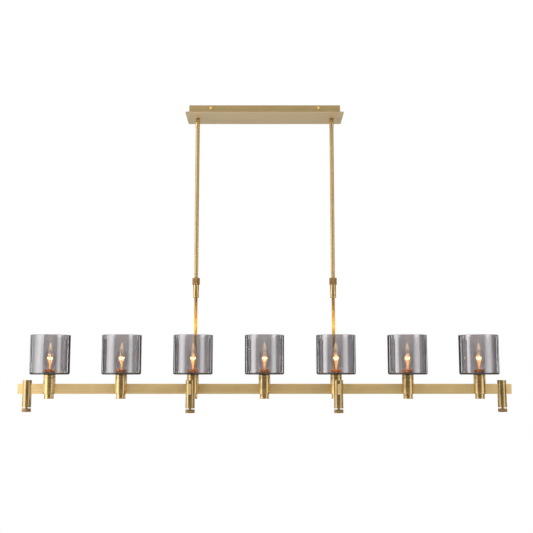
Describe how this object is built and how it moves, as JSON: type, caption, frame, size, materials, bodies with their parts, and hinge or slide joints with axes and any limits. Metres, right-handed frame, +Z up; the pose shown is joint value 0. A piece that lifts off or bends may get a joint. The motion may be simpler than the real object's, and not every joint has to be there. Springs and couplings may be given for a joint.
{
  "type": "linear chandelier",
  "caption": "Ceiling-hung linear chandelier: brass bar on two height-adjustable stems, smoked glass cup shades with candle bulbs.",
  "frame": {"origin": "centre of the ceiling bracket's two bolt slots, on the ceiling plane", "axes": "+Z up to the ceiling, +X along the lamp row to the right seen from the front, -Y to the front, where the two front posts are"},
  "size_m": [1.478, 0.255, 0.9559],
  "materials": {
    "brushed_brass": "brushed, aged",
    "knurled_brass": "knurled, aged",
    "dark_brass": "satin, dark",
    "polished_brass": "polished",
    "bulb_base_brass": "plated",
    "smoked_glass": "smoked grey, polished",
    "clear_glass": "clear",
    "filament": "clear mount, glowing filament",
    "zinc_steel": "zinc plated",
    "holder_ceramic": "matte, heat proof",
    "gasket_rubber": "matte",
    "nylon": "matte",
    "wire_cover": "satin",
    "connector_plastic": "matte"
  },
  "bodies": {
    "canopy": {"ceiling_bracket": "zinc_steel", "canopy_tray": "brushed_brass", "canopy_plate": "brushed_brass", "canopy_screws": "polished_brass", "ground_screw": "zinc_steel", "fork_nuts": "zinc_steel", "knuckle_pivots": "zinc_steel", "canopy_leads": "wire_cover", "wire_connectors": "connector_plastic", "knuckle_fork_left": "brushed_brass", "knuckle_fork_right": "brushed_brass"},
    "upper_stems": {"stem_collets": "nylon", "knuckle_tongue_left": "brushed_brass", "upper_rod_left": "brushed_brass", "ferrule_left": "brushed_brass", "knuckle_tongue_right": "brushed_brass", "upper_rod_right": "brushed_brass", "ferrule_right": "brushed_brass"},
    "light_frame": {"frame_screws": "zinc_steel", "main_bar": "brushed_brass", "bar_end_caps": "brushed_brass", "lamp_caps": "brushed_brass", "lamp_bolts": "zinc_steel", "shade_gaskets": "gasket_rubber", "shade_rings": "dark_brass", "lamp_holders": "holder_ceramic", "bulb_bases": "bulb_base_brass", "bulb_glass": "clear_glass", "bulb_filaments": "filament", "bar_wiring": "wire_cover", "lower_stem_left": "brushed_brass", "stem_socket_left": "brushed_brass", "cross_bar_left": "brushed_brass", "lower_stem_right": "brushed_brass", "stem_socket_right": "brushed_brass", "cross_bar_right": "brushed_brass", "post_end_left": "brushed_brass", "post_end_right": "brushed_brass", "post_front_left": "brushed_brass", "post_front_right": "brushed_brass", "lamp_body_1": "brushed_brass", "shade_1": "smoked_glass", "lamp_body_2": "brushed_brass", "shade_2": "smoked_glass", "lamp_body_3": "brushed_brass", "shade_3": "smoked_glass", "lamp_body_4": "brushed_brass", "shade_4": "smoked_glass", "lamp_body_5": "brushed_brass", "shade_5": "smoked_glass", "lamp_body_6": "brushed_brass", "shade_6": "smoked_glass", "lamp_body_7": "brushed_brass", "shade_7": "smoked_glass"},
    "collar_left": {"collar_left": "knurled_brass"},
    "collar_right": {"collar_right": "knurled_brass"},
    "knob_end_left": {"knob_end_left": "knurled_brass"},
    "knob_end_right": {"knob_end_right": "knurled_brass"},
    "knob_front_left": {"knob_front_left": "knurled_brass"},
    "knob_front_right": {"knob_front_right": "knurled_brass"}
  },
  "joints": [
    {"name": "canopy_swing", "type": "hinge", "parent": "canopy", "child": "upper_stems", "pos_m": [0, 0, -0.0339], "axis": [1, 0, 0], "range_deg": [-45, 45]},
    {"name": "height_slide", "type": "slide", "parent": "upper_stems", "child": "light_frame", "axis": [0, 0, 1], "range_m": [-0.25, 0.2]},
    {"name": "collar_left_turn", "type": "hinge", "parent": "upper_stems", "child": "collar_left", "pos_m": [-0.215, 0, -0.55475], "axis": [0, 0, 1], "range_deg": [0, 360]},
    {"name": "collar_right_turn", "type": "hinge", "parent": "upper_stems", "child": "collar_right", "pos_m": [0.215, 0, -0.55475], "axis": [0, 0, 1], "range_deg": [0, 360]},
    {"name": "knob_end_left_turn", "type": "hinge", "parent": "light_frame", "child": "knob_end_left", "pos_m": [-0.711, -0.082, -0.951], "axis": [0, 0, -1], "range_deg": [0, 360]},
    {"name": "knob_end_right_turn", "type": "hinge", "parent": "light_frame", "child": "knob_end_right", "pos_m": [0.711, -0.082, -0.951], "axis": [0, 0, -1], "range_deg": [0, 360]},
    {"name": "knob_front_left_turn", "type": "hinge", "parent": "light_frame", "child": "knob_front_left", "pos_m": [-0.215, -0.164, -0.951], "axis": [0, 0, -1], "range_deg": [0, 360]},
    {"name": "knob_front_right_turn", "type": "hinge", "parent": "light_frame", "child": "knob_front_right", "pos_m": [0.215, -0.164, -0.951], "axis": [0, 0, -1], "range_deg": [0, 360]}
  ]
}
